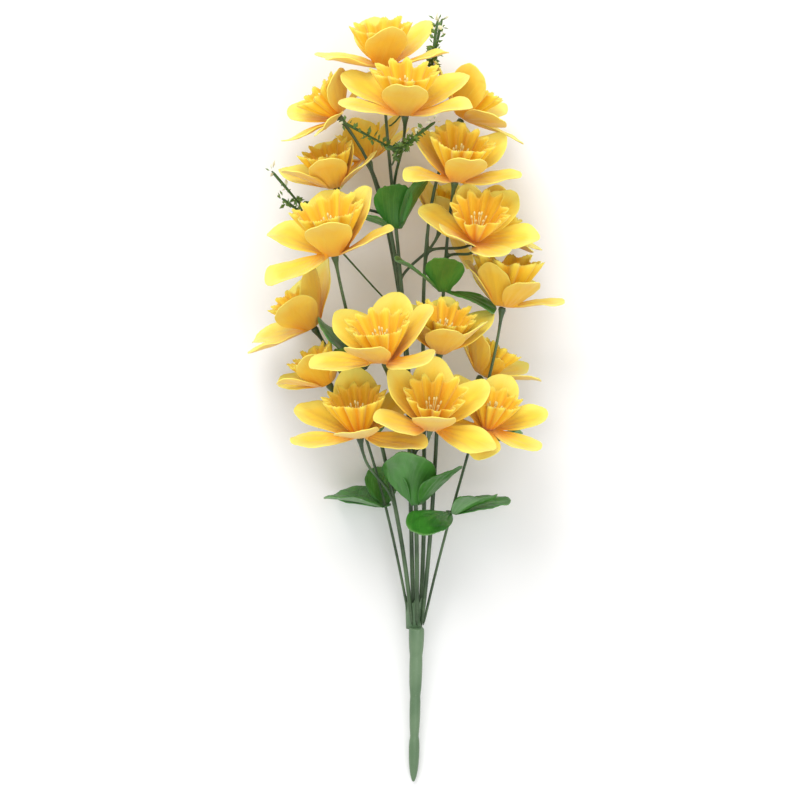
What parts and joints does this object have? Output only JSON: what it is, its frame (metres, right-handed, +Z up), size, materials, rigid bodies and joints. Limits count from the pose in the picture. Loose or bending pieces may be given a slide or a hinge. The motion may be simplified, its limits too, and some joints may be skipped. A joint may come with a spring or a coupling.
{
  "type": "artificial daffodil bush",
  "caption": "Artificial daffodil bush lying down: yellow fabric heads with pleated trumpets on branching plastic stems, with leaf whorls and filler sprigs, above a jointed plastic spike.",
  "frame": {"origin": "centre of the bush's box, on the surface that it lies on", "axes": "+Y along the stems from the spike to the topmost head, +Z up from the surface, +X to the right as the bush is seen from above"},
  "size_m": [0.2544, 0.6234, 0.1769],
  "materials": {
    "petal_fabric": "satin polyester, orange at the root and lemon at the edge",
    "trumpet_fabric": "pleated satin polyester",
    "leaf": "glazed cloth with raised ribs",
    "stem": "satin moulded plastic over wire",
    "spike": "satin moulded plastic",
    "sprig": "satin moulded plastic with white tips"
  },
  "bodies": {
    "root": {"leaves_1": "leaf", "leaves_2": "leaf", "leaves_3": "leaf", "leaves_4": "leaf", "leaves_5": "leaf", "leaves_6": "leaf", "leaves_7": "leaf", "leaves_8": "leaf", "petals_01": "petal_fabric", "petals_02": "petal_fabric", "petals_03": "petal_fabric", "petals_04": "petal_fabric", "petals_05": "petal_fabric", "petals_06": "petal_fabric", "petals_07": "petal_fabric", "petals_08": "petal_fabric", "petals_09": "petal_fabric", "petals_10": "petal_fabric", "petals_11": "petal_fabric", "petals_12": "petal_fabric", "petals_13": "petal_fabric", "petals_14": "petal_fabric", "petals_15": "petal_fabric", "petals_16": "petal_fabric", "petals_17": "petal_fabric", "petals_18": "petal_fabric", "petals_19": "petal_fabric", "petals_20": "petal_fabric", "spike": "spike", "sprig_1": "sprig", "sprig_2": "sprig", "sprig_3": "sprig", "stem_1": "stem", "stem_2": "stem", "stem_3": "stem", "stem_4": "stem", "stem_5": "stem", "stem_6": "stem", "stem_7": "stem", "stem_8": "stem", "trumpet_01": "trumpet_fabric", "trumpet_02": "trumpet_fabric", "trumpet_03": "trumpet_fabric", "trumpet_04": "trumpet_fabric", "trumpet_05": "trumpet_fabric", "trumpet_06": "trumpet_fabric", "trumpet_07": "trumpet_fabric", "trumpet_08": "trumpet_fabric", "trumpet_09": "trumpet_fabric", "trumpet_10": "trumpet_fabric", "trumpet_11": "trumpet_fabric", "trumpet_12": "trumpet_fabric", "trumpet_13": "trumpet_fabric", "trumpet_14": "trumpet_fabric", "trumpet_15": "trumpet_fabric", "trumpet_16": "trumpet_fabric", "trumpet_17": "trumpet_fabric", "trumpet_18": "trumpet_fabric", "trumpet_19": "trumpet_fabric", "trumpet_20": "trumpet_fabric"}
  },
  "joints": []
}
